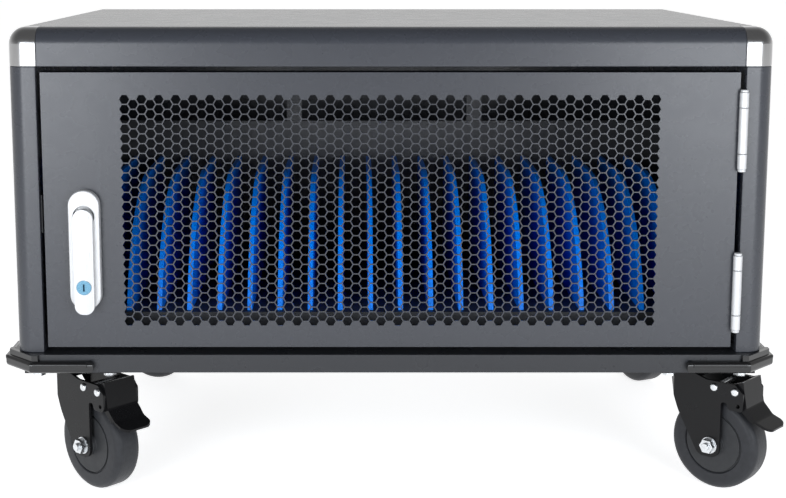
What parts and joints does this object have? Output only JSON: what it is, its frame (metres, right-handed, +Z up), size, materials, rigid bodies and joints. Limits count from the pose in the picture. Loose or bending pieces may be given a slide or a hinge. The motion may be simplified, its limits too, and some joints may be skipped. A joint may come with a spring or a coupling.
{
  "type": "charging cabinet",
  "caption": "Low wheeled charging cabinet: slate steel case with a punched hexagon door, lever lock, blue bay dividers inside and a bumpered trolley base on swivel castors.",
  "frame": {"origin": "on the floor under the middle of the cabinet", "axes": "+Z up, the door faces -Y, +X to the right as one faces the door"},
  "size_m": [0.6528, 0.43, 0.396],
  "materials": {
    "slate_paint": "satin powder coat",
    "trolley_paint": "satin powder coat",
    "dark_paint": "satin powder coat",
    "blue_plastic": "moulded",
    "bright_metal": "satin chrome",
    "lock_metal": "nickel plated",
    "zinc": "zinc plated",
    "black_plastic": "moulded",
    "contact_metal": "plated",
    "lead_cover": "matt",
    "bumper_rubber": "satin",
    "castor_black": "satin black coat",
    "tyre_rubber": "matt",
    "core_plastic": "moulded"
  },
  "bodies": {
    "cabinet": {"top_cover": "slate_paint", "left_corner_cap": "bright_metal", "right_corner_cap": "bright_metal", "left_side_panel": "slate_paint", "right_side_panel": "slate_paint", "left_front_post": "slate_paint", "right_front_post": "slate_paint", "left_rear_post": "slate_paint", "right_rear_post": "slate_paint", "bottom_panel": "dark_paint", "back_panel": "slate_paint", "back_panel_screws": "zinc", "bay_tray": "dark_paint", "bay_partition": "dark_paint", "bay_dividers": "blue_plastic", "power_supply": "dark_paint", "charge_module": "black_plastic", "charge_sockets": "contact_metal", "power_inlet": "black_plastic", "inlet_pins": "contact_metal", "mains_lead": "lead_cover", "low_voltage_lead": "lead_cover", "latch_keeper": "zinc", "hinge_frame_leaves": "bright_metal", "hinge_pins": "bright_metal", "base_frame": "trolley_paint", "corner_bumpers": "bumper_rubber", "castor_plates": "castor_black", "castor_bolts": "zinc"},
    "door": {"door_panel": "slate_paint", "door_mesh": "slate_paint", "hinge_door_leaves": "bright_metal", "handle_escutcheon": "bright_metal"},
    "spindle": {"handle_spindle": "zinc", "latch_cam": "zinc"},
    "lever": {"handle_lever": "bright_metal", "lever_pin": "zinc"},
    "plug": {"lock_plug": "lock_metal"},
    "front_left_castor": {"front_left_fork": "castor_black", "front_left_axle": "zinc", "front_left_fork_rivets": "zinc"},
    "front_left_wheel": {"front_left_tyre": "tyre_rubber", "front_left_wheel_core": "core_plastic"},
    "front_left_brake": {"front_left_brake_pedal": "castor_black"},
    "front_right_castor": {"front_right_fork": "castor_black", "front_right_axle": "zinc", "front_right_fork_rivets": "zinc"},
    "front_right_wheel": {"front_right_tyre": "tyre_rubber", "front_right_wheel_core": "core_plastic"},
    "front_right_brake": {"front_right_brake_pedal": "castor_black"},
    "rear_left_castor": {"rear_left_fork": "castor_black", "rear_left_axle": "zinc"},
    "rear_left_wheel": {"rear_left_tyre": "tyre_rubber", "rear_left_wheel_core": "core_plastic"},
    "rear_right_castor": {"rear_right_fork": "castor_black", "rear_right_axle": "zinc"},
    "rear_right_wheel": {"rear_right_tyre": "tyre_rubber", "rear_right_wheel_core": "core_plastic"}
  },
  "joints": [
    {"name": "door_swing", "type": "hinge", "parent": "cabinet", "child": "door", "pos_m": [0.2878, -0.204, 0.24415], "axis": [0, 0, 1], "range_deg": [0, 165]},
    {"name": "handle_turn", "type": "hinge", "parent": "door", "child": "spindle", "pos_m": [-0.2525, -0.2, 0.2414], "axis": [0, -1, 0], "range_deg": [0, 90]},
    {"name": "handle_lift", "type": "hinge", "parent": "spindle", "child": "lever", "pos_m": [-0.2525, -0.2113, 0.2414], "axis": [-1, 0, 0], "range_deg": [0, 35]},
    {"name": "key_turn", "type": "hinge", "parent": "lever", "child": "plug", "pos_m": [-0.2525, -0.2117, 0.183], "axis": [0, 1, 0], "range_deg": [0, 90]},
    {"name": "front_left_swivel", "type": "hinge", "parent": "cabinet", "child": "front_left_castor", "pos_m": [-0.267, -0.16, 0.105], "axis": [0, 0, 1], "continuous": true},
    {"name": "front_left_wheel_spin", "type": "hinge", "parent": "front_left_castor", "child": "front_left_wheel", "pos_m": [-0.24872, -0.17705, 0.04], "axis": [0.682, 0.7314, 0], "continuous": true},
    {"name": "front_left_brake_press", "type": "hinge", "parent": "front_left_castor", "child": "front_left_brake", "pos_m": [-0.23263, -0.19205, 0.0911], "axis": [0.682, 0.7314, 0], "range_deg": [0, 10]},
    {"name": "front_right_swivel", "type": "hinge", "parent": "cabinet", "child": "front_right_castor", "pos_m": [0.267, -0.16, 0.105], "axis": [0, 0, 1], "continuous": true},
    {"name": "front_right_wheel_spin", "type": "hinge", "parent": "front_right_castor", "child": "front_right_wheel", "pos_m": [0.28558, -0.17673, 0.04], "axis": [0.6691, 0.7431, 0], "continuous": true},
    {"name": "front_right_brake_press", "type": "hinge", "parent": "front_right_castor", "child": "front_right_brake", "pos_m": [0.30193, -0.19145, 0.0911], "axis": [0.6691, 0.7431, 0], "range_deg": [0, 10]},
    {"name": "rear_left_swivel", "type": "hinge", "parent": "cabinet", "child": "rear_left_castor", "pos_m": [-0.267, 0.16, 0.105], "axis": [0, 0, 1], "continuous": true},
    {"name": "rear_left_wheel_spin", "type": "hinge", "parent": "rear_left_castor", "child": "rear_left_wheel", "pos_m": [-0.24382, 0.15063, 0.04], "axis": [0.3746, 0.9272, 0], "continuous": true},
    {"name": "rear_right_swivel", "type": "hinge", "parent": "cabinet", "child": "rear_right_castor", "pos_m": [0.267, 0.16, 0.105], "axis": [0, 0, 1], "continuous": true},
    {"name": "rear_right_wheel_spin", "type": "hinge", "parent": "rear_right_castor", "child": "rear_right_wheel", "pos_m": [0.27757, 0.13734, 0.04], "axis": [0.9063, 0.4226, 0], "continuous": true}
  ]
}
